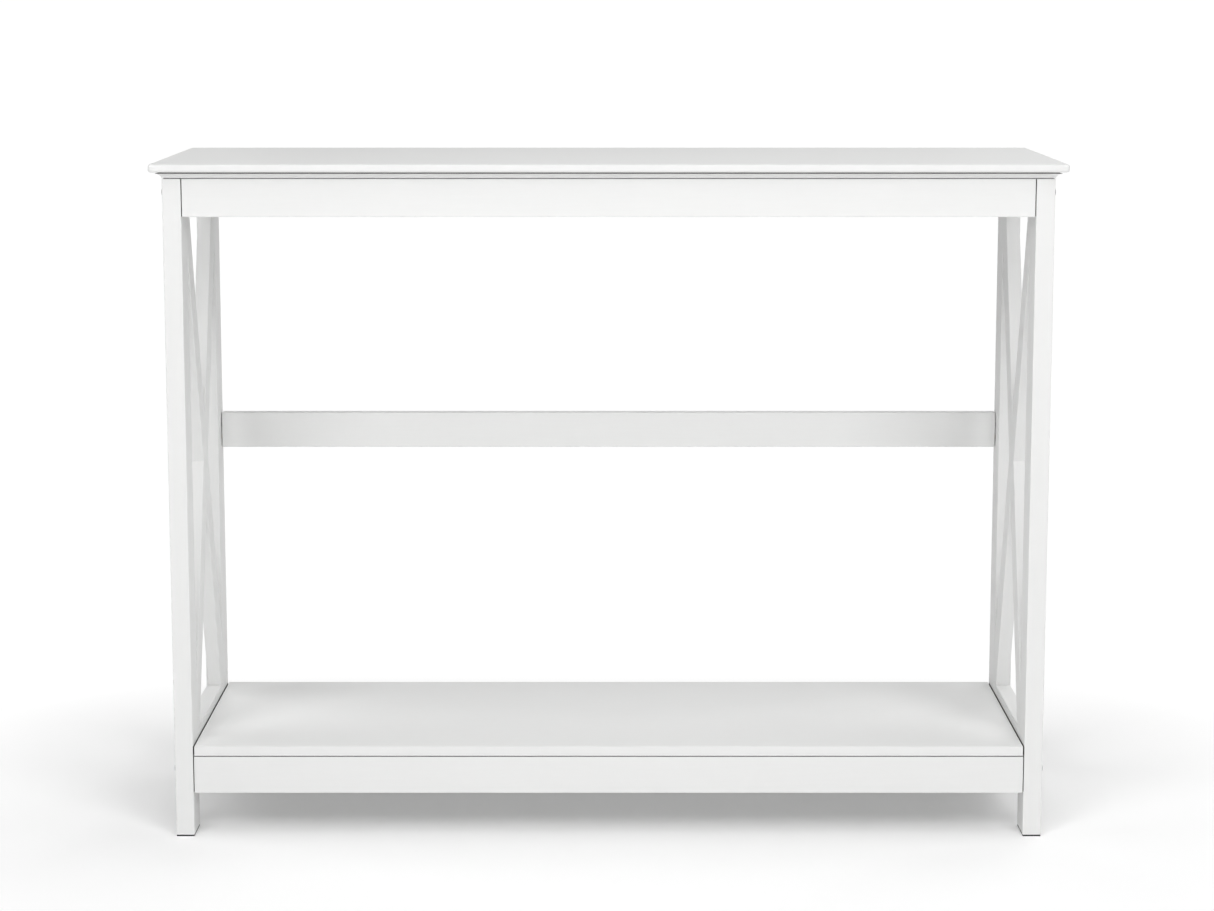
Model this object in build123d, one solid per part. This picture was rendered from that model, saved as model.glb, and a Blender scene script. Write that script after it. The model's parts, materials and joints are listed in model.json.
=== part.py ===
from build123d import *
import math
import os

# Console table: a thin top on a cove moulding, two side frames that each hold a crossed
# brace, aprons and a back rail bolted between the frames, and a low shelf on the lower
# aprons. Millimetres. The origin is on the floor under the middle of the table, +X is to
# the right as seen from the front, +Y to the back and +Z up.

# Overall sizes
table_width = 1003.0
table_depth = 305.0
table_height = 760.0

# Top board and the moulding under it
top_thick = 9.0
top_overhang = 13.2
top_corner_round = 4.0
top_upper_round = 2.6
top_lower_round = 2.9
moulding_height = 7.5
moulding_reach = 6.6
moulding_hollow = 1.3
quirk_height = 1.5
quirk_depth = 5.0
moulding_groove_height = 0.8

# Legs and foot pads
leg_width = 20.6
leg_depth = 40.0
pad_thick = 1.5
pad_inset = 0.3
pad_ease = 0.4

# Side frames: rails and crossed braces between the front and the back leg
side_rail_thick = 18.0
upper_side_rail_height = 42.0
lower_side_rail_lip = 10.5
brace_width = 30.0
brace_thick = 16.0
lap_clearance = 0.1

# Aprons, back rail and shelf between the side frames
apron_thick = 18.0
apron_height = 42.0
floor_clearance = 50.5
middle_rail_thick = 15.0
middle_rail_height = 42.0
middle_rail_bottom = 400.0
shelf_thick = 12.0
shelf_end_gap = 1.3
shelf_groove_height = 1.2
groove_depth = 4.5
joint_gap = 0.8
board_ease = 1.0

# Frame bolts with their barrel nuts
bolt_drop = 15.0
bolt_radius = 3.0
bolt_hole_radius = 3.3
bolt_end_room = 3.0
bolt_head_radius = 5.25
bolt_head_height = 3.3
bolt_head_round = 2.0
head_recess_radius = 5.8
head_recess_depth = 2.0
hex_across_flats = 4.0
hex_depth = 2.0
nut_inset = 25.6
nut_radius = 5.0
nut_length = 12.0
nut_clearance = 0.1
nut_thread_clearance = 0.05
nut_slot_width = 1.4
nut_slot_depth = 1.2

# Dowels
dowel_rise = 12.0
dowel_radius = 4.0
dowel_length = 28.0
brace_dowel_radius = 3.0
brace_dowel_length = 16.0
brace_dowel_offset = 8.0
dowel_clearance = 0.05
dowel_end_room = 0.5
dowel_chamfer = 0.8
upper_side_dowel_edge = 9.0
upper_side_dowel_spacing = 12.0
lower_side_dowel_edge = 14.0
lower_side_dowel_spacing = 22.0

# Corner brackets and their screws
bracket_flange = 28.0
bracket_width = 16.0
bracket_thick = 1.5
bracket_bend = 1.0
bracket_corner_round = 2.0
bracket_hole_offset = 18.0
bracket_hole_radius = 2.1
bracket_spacing = 300.0
screw_radius = 1.75
screw_length = 8.0
screw_hole_clearance = 0.05
screw_point = 2.0
screw_point_radius = 0.45
screw_head_radius = 3.4
screw_head_height = 2.0
screw_head_round = 1.0
screw_end_room = 0.5
screw_slot_width = 0.9
screw_slot_depth = 1.0

# Planes that the boards line up with
frame_x = table_width / 2 - top_overhang
frame_y = table_depth / 2 - top_overhang
leg_inner_x = frame_x - leg_width
leg_inner_y = frame_y - leg_depth
top_underside = table_height - top_thick
leg_top = top_underside - moulding_height
lower_apron_top = floor_clearance + apron_height
shelf_top = lower_apron_top + shelf_thick
lower_side_rail_top = shelf_top + lower_side_rail_lip
upper_side_rail_bottom = leg_top - upper_side_rail_height
bolt_in_leg = leg_width - head_recess_depth
bolt_length = bolt_in_leg + joint_gap + nut_inset + nut_radius

# The crossed braces fill the opening between the legs and the side rails of one frame.
opening_half_depth = leg_inner_y
opening_height = upper_side_rail_bottom - lower_side_rail_top
brace_lean = math.atan2(2 * opening_half_depth, opening_height)

SIDES = {"left": -1, "right": 1}
ENDS = {"front": -1, "back": 1}

parts = {}


def board(low, high, ease=board_ease):
    """A straight board between two corners, with every edge eased."""
    size = [top - bottom for bottom, top in zip(low, high)]
    blank = Box(*size, align=(Align.MIN, Align.MIN, Align.MIN))
    return Pos(*low) * fillet(blank.edges(), ease)


def rod(start, direction, radius, length):
    """A round bar or bore from a start point along a direction."""
    bar = Cylinder(radius, length, align=(Align.CENTER, Align.CENTER, Align.MIN))
    return Plane(origin=start, z_dir=direction) * bar


def span(a, b):
    """Two numbers in rising order, so that a box can be given from either end."""
    return (a, b) if a < b else (b, a)


class CrossRail:
    """An apron or rail that is bolted between the left and right side frames."""

    def __init__(self, name, end, thick, bottom, height, nut_side):
        self.name = name
        self.end = end
        self.nut_side = nut_side
        self.inner_y = end * (frame_y - thick)
        self.y_span = span(end * frame_y, self.inner_y)
        self.middle_y = end * (frame_y - thick / 2)
        self.nut_face_y = self.middle_y + nut_side * thick / 2
        self.nut_bore_depth = thick / 2 + nut_length / 2
        self.bottom = bottom
        self.top = bottom + height
        self.bolt_z = self.top - bolt_drop
        self.dowel_z = bottom + dowel_rise


upper_aprons = [
    CrossRail("upper_apron_front", -1, apron_thick, leg_top - apron_height, apron_height, 1),
    CrossRail("upper_apron_back", 1, apron_thick, leg_top - apron_height, apron_height, -1),
]
lower_aprons = [
    CrossRail("lower_apron_front", -1, apron_thick, floor_clearance, apron_height, 1),
    CrossRail("lower_apron_back", 1, apron_thick, floor_clearance, apron_height, -1),
]
middle_rails = [
    CrossRail("middle_rail_back", 1, middle_rail_thick, middle_rail_bottom, middle_rail_height, 1),
]
cross_rails = upper_aprons + lower_aprons + middle_rails


class BracketPlace:
    """A corner between the underside of a board and the inner face of a rail below it."""

    def __init__(self, x, y, z, inward):
        self.plane = Plane(origin=(x, y, z), x_dir=inward, z_dir=(0, 0, 1))
        self.inward = inward

    def at(self, along, height):
        """A point so far inwards from the rail's face and so far above the board's underside."""
        return self.plane.from_local_coords(Vector(along, 0, height))

    def board_screw_bore(self):
        return rod(self.at(bracket_hole_offset, 0), (0, 0, 1), *screw_bore)

    def rail_screw_bore(self):
        outward = tuple(-value for value in self.inward)
        return rod(self.at(0, -bracket_hole_offset), outward, *screw_bore)


screw_bore = (screw_radius + screw_hole_clearance, screw_length - bracket_thick + screw_end_room)


def bracket_row(end, z):
    """Two bracket places on the inner face of a front or back apron."""
    y = end * (frame_y - apron_thick)
    return [BracketPlace(x, y, z, (0, -end, 0)) for x in (-bracket_spacing, bracket_spacing)]


top_apron_brackets = {end: bracket_row(end, top_underside) for end in ENDS.values()}
top_side_brackets = {
    side: BracketPlace(side * leg_inner_x, 0, top_underside, (-side, 0, 0)) for side in SIDES.values()
}
shelf_brackets = {end: bracket_row(end, lower_apron_top) for end in ENDS.values()}
top_bracket_places = [place for row in top_apron_brackets.values() for place in row]
top_bracket_places += top_side_brackets.values()
shelf_bracket_places = [place for row in shelf_brackets.values() for place in row]


def make_top():
    """The top board, with a rounded lip and pilot bores for the bracket screws."""
    top = Pos(0, 0, top_underside + top_thick / 2) * Box(table_width, table_depth, top_thick)
    top = fillet(top.edges().filter_by(Axis.Z), top_corner_round)
    top = fillet(top.faces().sort_by(Axis.Z)[-1].edges(), top_upper_round)
    top = fillet(top.faces().sort_by(Axis.Z)[0].edges(), top_lower_round)
    for place in top_bracket_places:
        top -= place.board_screw_bore()
    parts["top_panel"] = top


def moulding_section():
    """The strip's section: X is outwards from the leg frame's face and Y is up from the strip's foot.

    The cove ends at a groove along the foot below it and at a quirk under the top board above it.
    """
    shoulder = moulding_height - quirk_height
    quirk_x = moulding_reach - quirk_depth
    hollow = moulding_hollow * math.sqrt(0.5)
    cove = ThreePointArc(
        (0, moulding_groove_height),
        (moulding_reach / 2 - hollow, (moulding_groove_height + shoulder) / 2 + hollow),
        (moulding_reach, shoulder),
    )
    rest = Polyline(
        (moulding_reach, shoulder),
        (quirk_x, shoulder),
        (quirk_x, moulding_height),
        (-apron_thick, moulding_height),
        (-apron_thick, 0),
        (-groove_depth, 0),
        (-groove_depth, moulding_groove_height),
        (0, moulding_groove_height),
    )
    return make_face([*cove.edges(), *rest.edges()])


def moulding_strip(half_length, face, turn):
    """A strip along the front face, mitred at both ends, then turned to its own side."""
    half_outer = half_length + moulding_reach
    outer_y = -(face + moulding_reach)
    inner_step = apron_thick + moulding_reach
    section_plane = Plane(origin=(half_outer, -face, leg_top), x_dir=(0, -1, 0), z_dir=(-1, 0, 0))
    strip = extrude(section_plane * moulding_section(), 2 * half_outer)
    plan = Polygon(
        (-half_outer, outer_y),
        (half_outer, outer_y),
        (half_outer - inner_step, outer_y + inner_step),
        (-half_outer + inner_step, outer_y + inner_step),
        align=None,
    )
    strip &= extrude(Pos(0, 0, leg_top) * plan, moulding_height)
    return Rot(0, 0, turn) * strip


def make_moulding():
    parts["top_moulding_front"] = moulding_strip(frame_x, frame_y, 0)
    parts["top_moulding_back"] = moulding_strip(frame_x, frame_y, 180)
    parts["top_moulding_right"] = moulding_strip(frame_y, frame_x, 90)
    parts["top_moulding_left"] = moulding_strip(frame_y, frame_x, -90)


def make_shelf():
    """The shelf lies on the lower aprons, with a groove along its front and back lower edges."""
    half_length = leg_inner_x - shelf_end_gap
    shelf = board((-half_length, -frame_y, lower_apron_top), (half_length, frame_y, shelf_top))
    groove = Box(2 * half_length, groove_depth, shelf_groove_height)
    for end in ENDS.values():
        groove_y = end * (frame_y - groove_depth / 2)
        shelf -= Pos(0, groove_y, lower_apron_top + shelf_groove_height / 2) * groove
    for place in shelf_bracket_places:
        shelf -= place.board_screw_bore()
    parts["shelf_panel"] = shelf


def bolt_bores(rail, side):
    """The recess for the bolt's head and the bolt's way through the leg."""
    recess = rod(
        (side * frame_x, rail.middle_y, rail.bolt_z), (-side, 0, 0), head_recess_radius, head_recess_depth
    )
    way = rod((side * frame_x, rail.middle_y, rail.bolt_z), (-side, 0, 0), bolt_hole_radius, leg_width)
    return recess + way


def side_dowel_places(side):
    """Where dowels join the side rails of one frame to its legs: the X and Z of each."""
    x = side * (leg_inner_x + side_rail_thick / 2)
    first_upper = leg_top - upper_side_dowel_edge
    first_lower = floor_clearance + lower_side_dowel_edge
    upper = [(x, first_upper), (x, first_upper - upper_side_dowel_spacing)]
    lower = [(x, first_lower), (x, first_lower + lower_side_dowel_spacing)]
    return upper, lower


dowel_bore = (dowel_radius + dowel_clearance, dowel_length / 2 + dowel_end_room)
brace_dowel_bore = (brace_dowel_radius + dowel_clearance, brace_dowel_length / 2 + dowel_end_room)


def make_legs():
    for end_name, end in ENDS.items():
        for side_name, side in SIDES.items():
            x_low, x_high = span(side * leg_inner_x, side * frame_x)
            y_low, y_high = span(end * leg_inner_y, end * frame_y)
            leg = board((x_low, y_low, pad_thick), (x_high, y_high, leg_top))
            for rail in cross_rails:
                if rail.end == end:
                    leg -= bolt_bores(rail, side)
                    leg -= rod((side * leg_inner_x, rail.middle_y, rail.dowel_z), (side, 0, 0), *dowel_bore)
            upper, lower = side_dowel_places(side)
            for x, z in upper + lower:
                leg -= rod((x, end * leg_inner_y, z), (0, end, 0), *dowel_bore)
            parts[f"{end_name}_leg_{side_name}"] = leg
            parts[f"foot_pad_{end_name}_{side_name}"] = board(
                (x_low + pad_inset, y_low + pad_inset, 0),
                (x_high - pad_inset, y_high - pad_inset, pad_thick),
                pad_ease,
            )


def brace_outline(high_end, width):
    """A straight band from corner to corner of the opening, cut off by the legs and the rails.

    high_end is -1 where the band is high at the front and 1 where it is high at the back.
    """
    on_rail = width / 2 / math.cos(brace_lean)
    on_leg = width / 2 / math.sin(brace_lean)
    high_y = high_end * opening_half_depth
    rail_step = high_end * on_rail
    return Polygon(
        (high_y, upper_side_rail_bottom),
        (high_y - rail_step, upper_side_rail_bottom),
        (-high_y, lower_side_rail_top + on_leg),
        (-high_y, lower_side_rail_top),
        (-high_y + rail_step, lower_side_rail_top),
        (high_y, upper_side_rail_bottom - on_leg),
        align=None,
    )


def brace_bar(high_end, width, x_from, x_to):
    low, high = span(x_from, x_to)
    return extrude(Plane.YZ.offset(low) * brace_outline(high_end, width), high - low, dir=(1, 0, 0))


def brace_dowel_starts(side):
    """The points on the rails where dowels stand in the brace ends, each with its way into the rail."""
    x = side * (leg_inner_x + brace_thick / 2)
    reach = opening_half_depth - brace_dowel_offset
    upper = [((x, end * reach, upper_side_rail_bottom), 1) for end in ENDS.values()]
    lower = [((x, end * reach, lower_side_rail_top), -1) for end in ENDS.values()]
    return upper, lower


def make_braces():
    """Two braces in each side frame, halved into each other where they cross."""
    for side_name, side in SIDES.items():
        inner = side * leg_inner_x
        middle = side * (leg_inner_x + brace_thick / 2)
        outer = side * (leg_inner_x + brace_thick)
        upper, lower = brace_dowel_starts(side)
        for name, high_end, cut_to in (("front_high", -1, outer), ("back_high", 1, inner)):
            brace = brace_bar(high_end, brace_width, inner, outer)
            brace = fillet(brace.edges(), board_ease)
            brace -= brace_bar(-high_end, brace_width + 2 * lap_clearance, middle, cut_to)
            for start, way in upper + lower:
                brace -= rod(start, (0, 0, -way), *brace_dowel_bore)
            parts[f"{name}_brace_{side_name}"] = brace


def make_side_rails():
    for side_name, side in SIDES.items():
        x_low, x_high = span(side * leg_inner_x, side * (leg_inner_x + side_rail_thick))
        upper_dowels, lower_dowels = side_dowel_places(side)
        upper_starts, lower_starts = brace_dowel_starts(side)
        upper = board((x_low, -leg_inner_y, upper_side_rail_bottom), (x_high, leg_inner_y, leg_top))
        lower = board((x_low, -leg_inner_y, floor_clearance), (x_high, leg_inner_y, lower_side_rail_top))
        for end in ENDS.values():
            for x, z in upper_dowels:
                upper -= rod((x, end * leg_inner_y, z), (0, -end, 0), *dowel_bore)
            for x, z in lower_dowels:
                lower -= rod((x, end * leg_inner_y, z), (0, -end, 0), *dowel_bore)
        for start, way in upper_starts:
            upper -= rod(start, (0, 0, way), *brace_dowel_bore)
        for start, way in lower_starts:
            lower -= rod(start, (0, 0, way), *brace_dowel_bore)
        upper -= top_side_brackets[side].rail_screw_bore()
        parts[f"upper_side_rail_{side_name}"] = upper
        parts[f"lower_side_rail_{side_name}"] = lower


def make_cross_rail(rail):
    """An apron or rail with its bolt, nut and dowel bores at both ends."""
    half_length = leg_inner_x - joint_gap
    y_low, y_high = rail.y_span
    body = board((-half_length, y_low, rail.bottom), (half_length, y_high, rail.top))
    bolt_reach = bolt_length - bolt_in_leg - joint_gap + bolt_end_room
    for side in SIDES.values():
        end_x = side * half_length
        nut_x = side * (half_length - nut_inset)
        body -= rod((end_x, rail.middle_y, rail.bolt_z), (-side, 0, 0), bolt_hole_radius, bolt_reach)
        body -= rod((end_x, rail.middle_y, rail.dowel_z), (-side, 0, 0), *dowel_bore)
        body -= rod(
            (nut_x, rail.nut_face_y, rail.bolt_z),
            (0, -rail.nut_side, 0),
            nut_radius + nut_clearance,
            rail.nut_bore_depth,
        )
    return body


def make_cross_rails():
    for rail in cross_rails:
        parts[rail.name] = make_cross_rail(rail)
    for end_name, end in ENDS.items():
        for place in top_apron_brackets[end]:
            parts[f"upper_apron_{end_name}"] -= place.rail_screw_bore()
        for place in shelf_brackets[end]:
            parts[f"lower_apron_{end_name}"] -= place.rail_screw_bore()


def frame_bolt():
    """A button-head bolt with a hexagon socket. Its head sits on Z = 0 and its shank points down."""
    head = Cylinder(bolt_head_radius, bolt_head_height, align=(Align.CENTER, Align.CENTER, Align.MIN))
    head = fillet(head.edges().sort_by(Axis.Z)[-1], bolt_head_round)
    socket = RegularPolygon(hex_across_flats / 2, 6, major_radius=False)
    head -= extrude(Pos(0, 0, bolt_head_height - hex_depth) * socket, hex_depth)
    return head + rod((0, 0, 0), (0, 0, -1), bolt_radius, bolt_length)


def barrel_nut():
    """A round cross nut along Z, with the bolt's hole through it along X and a slot in its outer end."""
    body = Cylinder(nut_radius, nut_length)
    body -= rod((-nut_radius, 0, 0), (1, 0, 0), bolt_radius + nut_thread_clearance, 2 * nut_radius)
    slot_z = nut_length / 2 - nut_slot_depth / 2
    return body - Pos(0, 0, slot_z) * Box(2 * nut_radius, nut_slot_width, nut_slot_depth)


def dowel(radius, length):
    """A round dowel about its own middle, with chamfered ends."""
    peg = Cylinder(radius, length)
    ends = peg.edges().filter_by(GeomType.CIRCLE)
    return chamfer(ends, dowel_chamfer)


def make_rail_hardware(group, rails):
    """The bolts, barrel nuts and dowels of one set of aprons or rails."""
    bolt = frame_bolt()
    nut = barrel_nut()
    peg = dowel(dowel_radius, dowel_length)
    bolts, nuts, pegs = [], [], []
    for rail in rails:
        for side in SIDES.values():
            head_seat = (side * (frame_x - head_recess_depth), rail.middle_y, rail.bolt_z)
            nut_centre = (side * (leg_inner_x - joint_gap - nut_inset), rail.middle_y, rail.bolt_z)
            joint = (side * leg_inner_x, rail.middle_y, rail.dowel_z)
            bolts.append(Plane(origin=head_seat, z_dir=(side, 0, 0)) * bolt)
            nuts.append(Plane(origin=nut_centre, x_dir=(1, 0, 0), z_dir=(0, rail.nut_side, 0)) * nut)
            pegs.append(Plane(origin=joint, z_dir=(side, 0, 0)) * peg)
    parts[f"{group}_bolts"] = Compound(bolts)
    parts[f"{group}_barrel_nuts"] = Compound(nuts)
    parts[f"{group}_dowels"] = Compound(pegs)


def make_side_dowels():
    peg = dowel(dowel_radius, dowel_length)
    brace_peg = dowel(brace_dowel_radius, brace_dowel_length)
    upper_pegs, lower_pegs, brace_pegs = [], [], []
    for side in SIDES.values():
        for places, pegs in zip(side_dowel_places(side), (upper_pegs, lower_pegs)):
            for x, z in places:
                for end in ENDS.values():
                    joint = (x, end * leg_inner_y, z)
                    pegs.append(Plane(origin=joint, z_dir=(0, 1, 0)) * peg)
        upper, lower = brace_dowel_starts(side)
        for start, way in upper + lower:
            brace_pegs.append(Pos(*start) * brace_peg)
    parts["upper_side_rail_dowels"] = Compound(upper_pegs)
    parts["lower_side_rail_dowels"] = Compound(lower_pegs)
    parts["brace_dowels"] = Compound(brace_pegs)


def corner_bracket():
    """A bent steel angle: one flange along X under a board, the other down a rail's face."""
    section = Polygon(
        (0, 0),
        (bracket_flange, 0),
        (bracket_flange, -bracket_thick),
        (bracket_thick, -bracket_thick),
        (bracket_thick, -bracket_flange),
        (0, -bracket_flange),
        align=None,
    )
    angle = extrude(Plane.XZ * section, bracket_width / 2, both=True)
    bend = angle.edges().filter_by(Axis.Y).sort_by(lambda edge: edge.center().length)
    angle = fillet(bend[0:2], bracket_bend)
    tips = angle.faces().sort_by(Axis.X)[-1].edges().filter_by(Axis.Z)
    tips += angle.faces().sort_by(Axis.Z)[0].edges().filter_by(Axis.X)
    angle = fillet(tips, bracket_corner_round)
    angle -= rod((bracket_hole_offset, 0, 0), (0, 0, -1), bracket_hole_radius, bracket_thick)
    return angle - rod((0, 0, -bracket_hole_offset), (1, 0, 0), bracket_hole_radius, bracket_thick)


def bracket_screw():
    """A pan-head screw. Its head stands on Z = 0, below it, and its point is above."""
    shank = rod((0, 0, 0), (0, 0, 1), screw_radius, screw_length - screw_point)
    point = Pos(0, 0, screw_length - screw_point / 2) * Cone(screw_radius, screw_point_radius, screw_point)
    head = rod((0, 0, 0), (0, 0, -1), screw_head_radius, screw_head_height)
    head = fillet(head.edges().filter_by(GeomType.CIRCLE).sort_by(Axis.Z)[0], screw_head_round)
    slot_z = screw_slot_depth / 2 - screw_head_height
    slot = Pos(0, 0, slot_z) * Box(2 * screw_head_radius, screw_slot_width, screw_slot_depth)
    return shank + point + (head - slot)


def make_brackets(group, places):
    """Corner brackets with a screw up into the board and a screw into the rail."""
    angle = corner_bracket()
    screw = bracket_screw()
    angles, screws = [], []
    for place in places:
        angles.append(place.plane * angle)
        under_board = place.at(bracket_hole_offset, -bracket_thick)
        on_rail = place.at(bracket_thick, -bracket_hole_offset)
        outward = tuple(-value for value in place.inward)
        screws.append(Plane(origin=under_board, z_dir=(0, 0, 1)) * screw)
        screws.append(Plane(origin=on_rail, z_dir=outward) * screw)
    parts[f"{group}_brackets"] = Compound(angles)
    parts[f"{group}_bracket_screws"] = Compound(screws)


make_top()
make_moulding()
make_shelf()
make_legs()
make_braces()
make_side_rails()
make_cross_rails()
make_rail_hardware("upper_apron", upper_aprons)
make_rail_hardware("lower_apron", lower_aprons)
make_rail_hardware("middle_rail", middle_rails)
make_side_dowels()
make_brackets("top", top_bracket_places)
make_brackets("shelf", shelf_bracket_places)

os.makedirs("parts", exist_ok=True)
for name, part in parts.items():
    export_step(part, f"parts/{name}.step")
    print(name, len(part.solids()), "solids")
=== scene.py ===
import json
import math

import bpy
import numpy as np
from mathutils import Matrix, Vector

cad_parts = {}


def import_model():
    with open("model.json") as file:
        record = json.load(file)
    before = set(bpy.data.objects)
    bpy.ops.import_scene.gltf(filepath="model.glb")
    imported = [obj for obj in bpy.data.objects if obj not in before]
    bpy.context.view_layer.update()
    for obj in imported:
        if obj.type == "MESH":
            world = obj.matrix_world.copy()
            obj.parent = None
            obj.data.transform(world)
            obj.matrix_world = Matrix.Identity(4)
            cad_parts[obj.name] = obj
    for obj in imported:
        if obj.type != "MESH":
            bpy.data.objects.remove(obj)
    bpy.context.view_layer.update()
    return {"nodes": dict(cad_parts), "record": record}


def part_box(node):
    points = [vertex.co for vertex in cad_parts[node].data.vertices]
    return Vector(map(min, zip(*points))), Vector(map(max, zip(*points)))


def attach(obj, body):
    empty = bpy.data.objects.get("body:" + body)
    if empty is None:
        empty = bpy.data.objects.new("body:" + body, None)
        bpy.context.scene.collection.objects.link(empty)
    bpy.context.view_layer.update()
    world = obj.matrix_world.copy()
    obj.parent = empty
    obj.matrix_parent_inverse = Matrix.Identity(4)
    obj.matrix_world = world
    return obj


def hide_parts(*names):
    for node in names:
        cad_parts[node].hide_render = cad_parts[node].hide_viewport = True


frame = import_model()
nodes = frame["nodes"]
slot_of = {row["node"]: row["material_slot"] for row in frame["record"]["subparts"]}

MM = 0.001
QUARTER = math.pi / 2
WHITE = (1.0, 1.0, 1.0, 1.0)

# The colour sockets of a Mix node, whose names its other kinds of socket share.
MIX_FIRST, MIX_SECOND, MIX_RESULT = 6, 7, 2

# The camera stands in front of the table, a little above its top, and looks slightly down.
camera_distance = 2.866
camera_height = 0.950
camera_offset = -0.0018
camera_pitch = math.radians(7.77)
camera_lens = 77.88
camera_shift = -0.09
sensor_width = 36.0


# ---------------------------------------------------------------- shader maths

class Number:
    """A number in a node tree, so that shader maths is written as plain arithmetic."""

    def __init__(self, graph, socket):
        self.graph = graph
        self.socket = socket

    def _maths(self, operation, *values, clamp=False):
        settings = {"operation": operation, "use_clamp": clamp}
        node = self.graph.node("ShaderNodeMath", settings, dict(enumerate(values)))
        return Number(self.graph, node.outputs[0])

    def __add__(self, other):
        return self._maths("ADD", self, other)

    def __sub__(self, other):
        return self._maths("SUBTRACT", self, other)

    def __rsub__(self, other):
        return self._maths("SUBTRACT", other, self)

    def __mul__(self, other):
        return self._maths("MULTIPLY", self, other)

    def __truediv__(self, other):
        return self._maths("DIVIDE", self, other)

    def clamp(self):
        """The number held between 0 and 1."""
        return self._maths("ADD", self, 0.0, clamp=True)

    def size(self):
        """The number without its sign."""
        return self._maths("ABSOLUTE", self)

    def at_least(self, other):
        return self._maths("MAXIMUM", self, other)

    def root(self):
        return self._maths("SQRT", self)


class Graph:
    """A node tree. node() adds any node: its type, its settings, then its sockets' values."""

    def __init__(self, owner):
        owner.use_nodes = True
        self.tree = owner.node_tree
        self.tree.nodes.clear()

    def node(self, kind, settings=None, inputs=None):
        made = self.tree.nodes.new(kind)
        for name, value in (settings or {}).items():
            setattr(made, name, value)
        for name, value in (inputs or {}).items():
            if isinstance(value, Number):
                value = value.socket
            if isinstance(value, bpy.types.NodeSocket):
                self.tree.links.new(value, made.inputs[name])
            else:
                made.inputs[name].default_value = value
        return made

    def number(self, kind, settings=None, inputs=None, output=0):
        return Number(self, self.node(kind, settings, inputs).outputs[output])

    def mix(self, factor, first, second):
        """A colour between two colours; each is three numbers or a socket."""
        first, second = (
            (*colour, 1.0) if isinstance(colour, tuple) else colour for colour in (first, second)
        )
        inputs = {"Factor": factor, MIX_FIRST: first, MIX_SECOND: second}
        return self.node("ShaderNodeMix", {"data_type": "RGBA"}, inputs).outputs[MIX_RESULT]

    def bump(self, height, strength, depth):
        inputs = {"Height": height, "Strength": strength, "Distance": depth}
        return self.node("ShaderNodeBump", inputs=inputs).outputs[0]

    def noise(self, vector, scale, detail=2.0, roughness=0.5):
        inputs = {"Vector": vector, "Scale": scale, "Detail": detail, "Roughness": roughness}
        return self.number("ShaderNodeTexNoise", inputs=inputs)

    def surface(self, shader):
        self.node("ShaderNodeOutputMaterial", inputs={"Surface": shader.outputs[0]})

    def position(self):
        """Object coordinates as three numbers."""
        coordinates = self.node("ShaderNodeTexCoord").outputs["Object"]
        split = self.node("ShaderNodeSeparateXYZ", inputs={"Vector": coordinates})
        return [Number(self, socket) for socket in split.outputs]


def added(name, data):
    """A new object in the scene, at the origin."""
    made = bpy.data.objects.new(name, data)
    bpy.context.scene.collection.objects.link(made)
    return made


def placed(graph, turn=(0, 0, 0), stretch=(1, 1, 1)):
    """Object coordinates, turned and then stretched, so that a pattern runs along a board."""
    coordinates = graph.node("ShaderNodeTexCoord").outputs["Object"]
    turned = graph.node("ShaderNodeMapping", inputs={"Vector": coordinates, "Rotation": turn})
    inputs = {"Vector": turned.outputs[0], "Scale": stretch}
    return graph.node("ShaderNodeMapping", inputs=inputs).outputs[0]


# ---------------------------------------------------------------- materials

# Lacquer, as patterns to a metre, and its colours where it is drawn in and where it is full.
peel_scale = 420.0
grain_scale = 24.0
grain_stretch = 16.0
pore_scale = 70.0
cloud_scale = 3.1
film_drawn_in = (0.772, 0.775, 0.770)
film_full = (0.816, 0.817, 0.810)
film_ior = 1.45

# Painted shade in the joints, the quirk and the grooves: its near-black colour, and the sizes that
# place its boxes
joint_shade_colour = (0.05, 0.047, 0.043)
joint_edge = 0.1 * MM
joint_inset = 0.5 * MM
end_reach = 0.35 * MM
shade_mouth_gap = 1.2 * MM
quirk_height = 1.5 * MM
quirk_depth = 5.0 * MM
groove_depth = 4.5 * MM
moulding_groove_height = 0.8 * MM
shelf_groove_height = 1.2 * MM


def inside(graph, low, high):
    """1 inside a box given in object coordinates, 0 outside it, mirrored over X = 0 and Y = 0.

    For each axis the distance inwards from the box's faces is half its width less the distance
    from its middle; the three are turned into 0 or 1 over a tenth of a millimetre and multiplied.
    """
    x, y, z = graph.position()
    across_x, across_y, across_z = (
        (((top - bottom) / 2 - (number - (bottom + top) / 2).size()) / joint_edge).clamp()
        for number, bottom, top in zip((x.size(), y.size(), z), low, high)
    )
    return across_x * across_y * across_z


def lacquer(name, turn, shaded_boxes=()):
    """Sprayed satin lacquer: orange peel over a trace of wood grain, which runs along X once turned.

    The film is a little duller and greyer where the grain below has drawn it in. Inside the boxes
    given, which lie in the joints, the quirk and the grooves, the board is painted near black as
    painted shade.
    """
    material = bpy.data.materials.new(name)
    graph = Graph(material)
    plain = placed(graph)
    along = placed(graph, turn, (1.0, grain_stretch, grain_stretch))
    peel = graph.noise(plain, peel_scale, 1.0)
    grain = graph.noise(along, grain_scale, 3.0, 0.6)
    pores = (graph.noise(along, pore_scale, 1.0) * 2.6 - 1.55).clamp()
    cloud = graph.noise(plain, cloud_scale)
    tone = (cloud * 0.5 + grain * 0.5 - pores * 0.35 + 0.1).clamp()
    film = graph.mix(tone, film_drawn_in, film_full)
    for low, high in shaded_boxes:
        # Painted shade: inside each box the film is mixed to the near-black joint colour, which
        # stands in for the shadow in the joints, quirk and grooves.
        film = graph.mix(inside(graph, low, high), film, joint_shade_colour)
    inputs = {
        "Base Color": film,
        "Roughness": cloud * 0.05 + peel * 0.05 + pores * 0.06 + 0.45,
        "Normal": graph.bump(peel * 0.5 + grain * 0.35 - pores * 0.3, 0.28, 0.2 * MM),
        "IOR": film_ior,
    }
    graph.surface(graph.node("ShaderNodeBsdfPrincipled", inputs=inputs))
    return material


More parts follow.
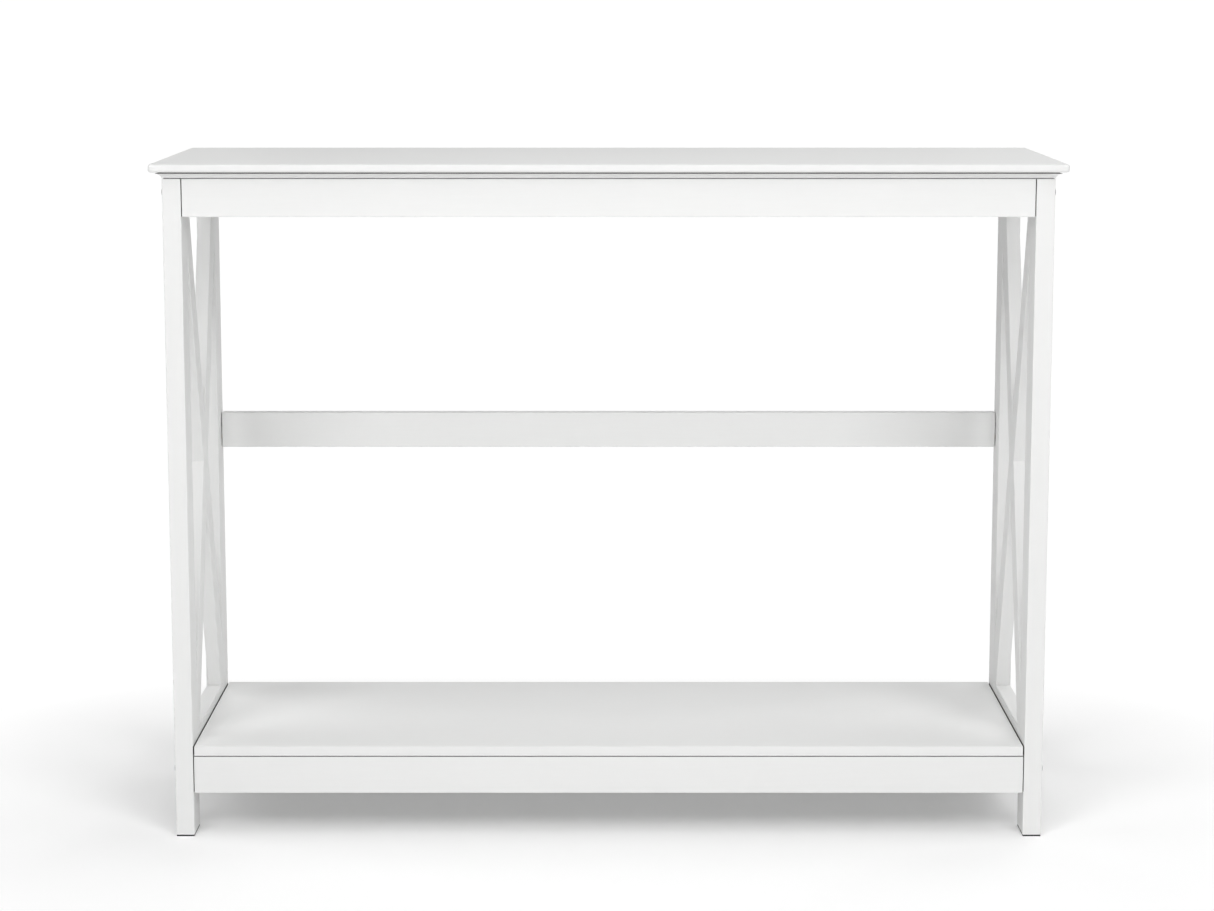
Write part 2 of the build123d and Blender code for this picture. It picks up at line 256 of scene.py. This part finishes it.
def zinc():
    """Plated steel, a little cloudy, with fine specks."""
    material = bpy.data.materials.new("zinc_plating")
    graph = Graph(material)
    plain = placed(graph)
    cloud = graph.noise(plain, 160.0, 3.0)
    fine = graph.noise(plain, 1400.0, 2.0)
    inputs = {
        "Base Color": graph.mix(cloud, (0.20, 0.205, 0.215), (0.36, 0.365, 0.375)),
        "Roughness": cloud * 0.12 + fine * 0.08 + 0.26,
        "Normal": graph.bump(fine, 0.1, 0.1 * MM),
        "Metallic": 1.0,
    }
    graph.surface(graph.node("ShaderNodeBsdfPrincipled", inputs=inputs))
    return material


def beech():
    """Bare beech with short dark flecks."""
    material = bpy.data.materials.new("bare_beech")
    graph = Graph(material)
    plain = placed(graph)
    grain = graph.noise(plain, 260.0, 4.0, 0.65)
    fleck = graph.noise(plain, 1500.0, 1.0)
    tone = (grain * 0.75 + fleck * 0.25).clamp()
    inputs = {
        "Base Color": graph.mix(tone, (0.50, 0.33, 0.19), (0.74, 0.57, 0.38)),
        "Roughness": grain * 0.1 + 0.55,
        "Normal": graph.bump(fleck, 0.2, 0.2 * MM),
    }
    graph.surface(graph.node("ShaderNodeBsdfPrincipled", inputs=inputs))
    return material


def pad_rubber():
    """Matt black foam rubber with open cells."""
    material = bpy.data.materials.new("black_foam_rubber")
    graph = Graph(material)
    cells = graph.noise(placed(graph), 1800.0, 2.0)
    inputs = {
        "Base Color": graph.mix(cells, (0.012, 0.012, 0.012), (0.035, 0.035, 0.035)),
        "Roughness": cells * 0.1 + 0.8,
        "Normal": graph.bump(cells, 0.5, 0.3 * MM),
    }
    graph.surface(graph.node("ShaderNodeBsdfPrincipled", inputs=inputs))
    return material


def brace_lean(name):
    """How far a brace leans from upright, worked out from its box, with its sign."""
    low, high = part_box(name)
    size = high - low
    lean = math.atan2(size.y, size.z)
    return lean if name.startswith("back_high") else -lean


def shade_boxes():
    """The places where dark shade is painted into the joints, as boxes for one quarter of the table.

    They are the ends of the boards that meet the legs with the places on the legs that those
    ends face, the quirk under the top board, and the grooves under the moulding and the shelf.
    """
    boxes = []
    leg_low, leg_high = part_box("back_leg_right")
    for name in ("upper_apron_back", "lower_apron_back", "shelf_panel"):
        low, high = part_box(name)
        boxes.append((
            (high.x - end_reach, max(low.y, 0.0) - joint_inset, low.z + joint_inset),
            (leg_low.x + joint_edge, high.y - joint_inset, high.z - joint_inset),
        ))
    moulding_low, moulding_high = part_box("top_moulding_back")
    shelf_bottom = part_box("shelf_panel")[0].z
    lip = moulding_high.y - leg_high.y
    slits = [
        (0, lip, quirk_depth, moulding_high.z - quirk_height, moulding_high.z),
        (1, lip, quirk_depth, moulding_high.z - quirk_height, moulding_high.z),
        (0, 0.0, groove_depth, moulding_low.z, moulding_low.z + moulding_groove_height),
        (1, 0.0, groove_depth, moulding_low.z, moulding_low.z + moulding_groove_height),
        (1, 0.0, groove_depth, shelf_bottom, shelf_bottom + shelf_groove_height),
    ]
    for axis, reach, depth, bottom, top in slits:
        low = [-joint_inset, -joint_inset, bottom - joint_edge]
        high = [leg_high.x + reach, leg_high.y + reach, top + joint_edge]
        low[axis] = high[axis] - depth - joint_edge
        # The painted shade stops this far short of the slit's outer face.
        high[axis] -= shade_mouth_gap
        boxes.append((low, high))
    return boxes


def finish_boards():
    """Each lacquered board gets grain along its own length."""
    turns = {"x": (0, 0, 0), "y": (0, 0, QUARTER), "z": (0, QUARTER, 0)}
    # The boxes where dark shade is painted into the joints, the quirk and the grooves.
    shaded_boxes = shade_boxes()
    plain = {axis: lacquer(f"lacquer_along_{axis}", turn, shaded_boxes) for axis, turn in turns.items()}
    leaning = {}
    for name, piece in nodes.items():
        if slot_of[name] != "white_lacquered_wood":
            continue
        if "brace" in name:
            high_end = name.rsplit("_", 2)[0]
            if high_end not in leaning:
                lean = brace_lean(name)
                leaning[high_end] = lacquer(f"lacquer_along_{high_end}", (lean, QUARTER, 0))
            paint(piece, leaning[high_end])
            continue
        low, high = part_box(name)
        size = high - low
        longest = max("xyz", key=lambda axis: getattr(size, axis))
        paint(piece, plain[longest])


def paint(piece, material):
    piece.data.materials.clear()
    piece.data.materials.append(material)


finishes = {
    "zinc_plated_steel": zinc(),
    "beech_dowel": beech(),
    "black_pad": pad_rubber(),
}
for name, piece in nodes.items():
    if slot_of[name] in finishes:
        paint(piece, finishes[slot_of[name]])
finish_boards()


# ---------------------------------------------------------------- frame bolts

head_radius = 5.25 * MM
head_height = 3.3 * MM
head_round = 2.0 * MM
socket_flat = 2.0 * MM
socket_depth = 2.0 * MM
socket_ease = 0.2 * MM
head_ease = 0.15 * MM
neck_round = 0.25 * MM
shank_radius = 3.0 * MM
bolt_length = 50.0 * MM
thread_length = 30.0 * MM
thread_pitch = 1.0 * MM
thread_depth = 0.6 * MM
thread_runout = 2.0 * MM
tip_ease = 0.6 * MM
bolt_sides = 48
rows_per_turn = 8
dome_rows = 12
crease = math.radians(35)


def bolt_surface():
    """A button-head bolt as rings of points: X is the height over the head's seat.

    The radius of a ring is that of a circle, except in two places. In the socket it is a
    hexagon: half its width over the cosine of the angle from the middle of the nearest flat.
    On the thread it is the shank's radius less a ramp that climbs one pitch in each turn,
    and the thread fades out over its last two turns under the head.
    """
    turn = np.arange(bolt_sides) * math.tau / bolt_sides
    flat = math.tau / 6
    hexagon = socket_flat / np.cos((turn + flat / 2) % flat - flat / 2)
    circle = np.ones(bolt_sides)
    bend = np.linspace(0, QUARTER, dome_rows)
    dome_radius = head_radius - head_round + head_round * np.sin(bend)
    dome_height = head_height - head_round + head_round * np.cos(bend)
    rings = [
        (hexagon, head_height - socket_depth),
        (hexagon, head_height - socket_ease),
        (hexagon + socket_ease, head_height),
    ]
    rings += [(radius * circle, height) for radius, height in zip(dome_radius, dome_height)]
    rings += [
        (head_radius * circle, head_ease),
        ((head_radius - head_ease) * circle, 0.0),
        ((shank_radius + neck_round) * circle, 0.0),
        (shank_radius * circle, -neck_round),
    ]
    thread_rows = int(rows_per_turn * thread_length / thread_pitch)
    down = np.linspace(0, thread_length - tip_ease, thread_rows)
    phase = (down[:, None] / thread_pitch + turn / math.tau) % 1.0
    ramp = 1 - np.abs(2 * phase - 1)
    fade = np.clip(down / thread_runout, 0, 1)[:, None]
    thread = shank_radius - thread_depth * ramp * fade
    radii = np.vstack([[radius for radius, _ in rings], thread, (thread[-1] - tip_ease)[None]])
    thread_top = thread_length - bolt_length
    heights = np.concatenate([[height for _, height in rings], thread_top - down, [-bolt_length]])
    x = np.repeat(heights[:, None], bolt_sides, axis=1)
    return np.stack([x, radii * np.cos(turn), radii * np.sin(turn)], axis=2)


def ring_faces(rows, sides):
    """Quads between neighbouring rings, and a fan from each end's middle point to its ring."""
    row, side = np.meshgrid(np.arange(rows - 1), np.arange(sides), indexing="ij")
    here, beyond = row * sides + side, row * sides + (side + 1) % sides
    quads = np.stack([here, here + sides, beyond + sides, beyond], axis=2).reshape(-1, 4)
    first = np.arange(sides)
    last = first + (rows - 1) * sides
    start = np.stack([np.full(sides, rows * sides), first, np.roll(first, -1)], axis=1)
    end = np.stack([np.full(sides, rows * sides + 1), np.roll(last, -1), last], axis=1)
    return quads, np.vstack([start, end])


def bolt_places(node):
    """The middle of each bolt head's top in a set, and the side of the table that it is on."""
    low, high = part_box(node)
    rows_y = [low.y + head_radius, high.y - head_radius]
    if rows_y[1] - rows_y[0] < head_radius:
        rows_y = [(low.y + high.y) / 2]
    z = (low.z + high.z) / 2
    return [(side, side * high.x, y, z) for side in (-1, 1) for y in rows_y]


def bolts(node):
    """The bolts of one set in one mesh: the same surface at each place, turned to its side."""
    surface = bolt_surface()
    rows, sides, _ = surface.shape
    middle = [[surface[0, 0, 0], 0, 0], [surface[-1, 0, 0], 0, 0]]
    one = np.vstack([surface.reshape(-1, 3), middle])
    one[:, 0] -= head_height
    quads, fans = ring_faces(rows, sides)
    points, faces = [], []
    for side, x, y, z in bolt_places(node):
        start = len(points) * len(one)
        points.append(one * (side, side, 1) + (x, y, z))
        faces += (quads + start).tolist() + (fans + start).tolist()
    mesh = bpy.data.meshes.new(f"{node}_cut_thread")
    mesh.from_pydata(np.vstack(points).tolist(), [], faces)
    mesh.shade_smooth()
    mesh.set_sharp_from_angle(angle=crease)
    mesh.materials.append(finishes["zinc_plated_steel"])
    piece = added(f"{node}_cut_thread", mesh)
    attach(piece, "root")
    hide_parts(node)


for node in ("upper_apron_bolts", "lower_apron_bolts", "middle_rail_bolts"):
    bolts(node)


# ---------------------------------------------------------------- studio

# The floor round the table's plan takes its shadow as far as fade_start, then turns white.
studio_floor_side = 40.0
floor_tone = 0.9
floor_glow = 0.1
floor_white = 1.02
near_reach = (0.42, 0.10)
fade_start = 0.14
fade_length = 0.34
surround_white = 1.05
light_distance = 3.0
light_aim_height = 0.4
broad = 1.6
narrow = 1.1

# Azimuth and elevation in degrees, side in metres and power in watts
lights = (
    (-30, 31, narrow, 22.0),
    (30, 31, narrow, 24.5),
    (0, 6, broad, 13.5),
    (0, 62, broad, 27.5),
    (-90, 27, broad, 20.0),
    (90, 27, broad, 15.0),
    (135, 38, broad, 19.0),
    (180, 40, broad, 14.0),
    (-150, 7, broad, 9.0),
    (150, 7, broad, 7.0),
)


def floor():
    """A pale floor that takes the table's shadow and turns evenly white away from it."""
    half = studio_floor_side / 2
    mesh = bpy.data.meshes.new("floor")
    corners = [(-half, -half, 0), (half, -half, 0), (half, half, 0), (-half, half, 0)]
    mesh.from_pydata(corners, [], [(0, 1, 2, 3)])
    obj = added("floor", mesh)
    material = bpy.data.materials.new("studio_floor")
    graph = Graph(material)
    x, y, _ = graph.position()
    beyond_x = (x.size() - near_reach[0]).at_least(0.0)
    beyond_y = (y.size() - near_reach[1]).at_least(0.0)
    reach = (beyond_x * beyond_x + beyond_y * beyond_y).root()
    fade = ((reach - fade_start) / fade_length).clamp()
    seen = graph.number("ShaderNodeLightPath", output="Is Camera Ray")
    near = graph.node(
        "ShaderNodeBsdfPrincipled",
        inputs={
            "Base Color": (floor_tone, floor_tone, floor_tone, 1.0),
            "Roughness": 0.9,
            "Specular IOR Level": 0.0,
            "Emission Color": WHITE,
            "Emission Strength": floor_glow,
        },
    )
    far = graph.node("ShaderNodeEmission", inputs={"Color": WHITE, "Strength": floor_white})
    inputs = {0: fade * seen, 1: near.outputs[0], 2: far.outputs[0]}
    graph.surface(graph.node("ShaderNodeMixShader", inputs=inputs))
    mesh.materials.append(material)


def softbox(azimuth, elevation, side, power):
    """A square light that faces the table: azimuth 0 is in front and 90 is on the right."""
    around, up = math.radians(azimuth), math.radians(elevation)
    way = Vector((math.sin(around) * math.cos(up), -math.cos(around) * math.cos(up), math.sin(up)))
    light = bpy.data.lights.new(f"light_{azimuth}_{elevation}", "AREA")
    light.shape = "SQUARE"
    light.size = side
    light.energy = power
    obj = added(light.name, light)
    obj.location = Vector((0.0, 0.0, light_aim_height)) + light_distance * way
    obj.rotation_euler = (-way).to_track_quat("-Z", "Y").to_euler()


def world():
    """An even white surround that only the camera sees, so it doesn't light the table."""
    made = bpy.data.worlds.new("white_surround")
    bpy.context.scene.world = made
    graph = Graph(made)
    strength = graph.number("ShaderNodeLightPath", output="Is Camera Ray") * surround_white
    background = graph.node("ShaderNodeBackground", inputs={"Color": WHITE, "Strength": strength})
    graph.node("ShaderNodeOutputWorld", inputs={"Surface": background.outputs[0]})


def camera():
    data = bpy.data.cameras.new("camera")
    data.sensor_width = sensor_width
    data.lens = camera_lens
    data.shift_y = camera_shift
    obj = added("camera", data)
    leg_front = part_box("front_leg_left")[0].y
    obj.location = (camera_offset, leg_front - camera_distance, camera_height)
    obj.rotation_euler = (QUARTER - camera_pitch, 0, 0)
    bpy.context.scene.camera = obj


floor()
world()
for azimuth, elevation, side, power in lights:
    softbox(azimuth, elevation, side, power)
camera()
bpy.context.scene.view_settings.view_transform = "Standard"
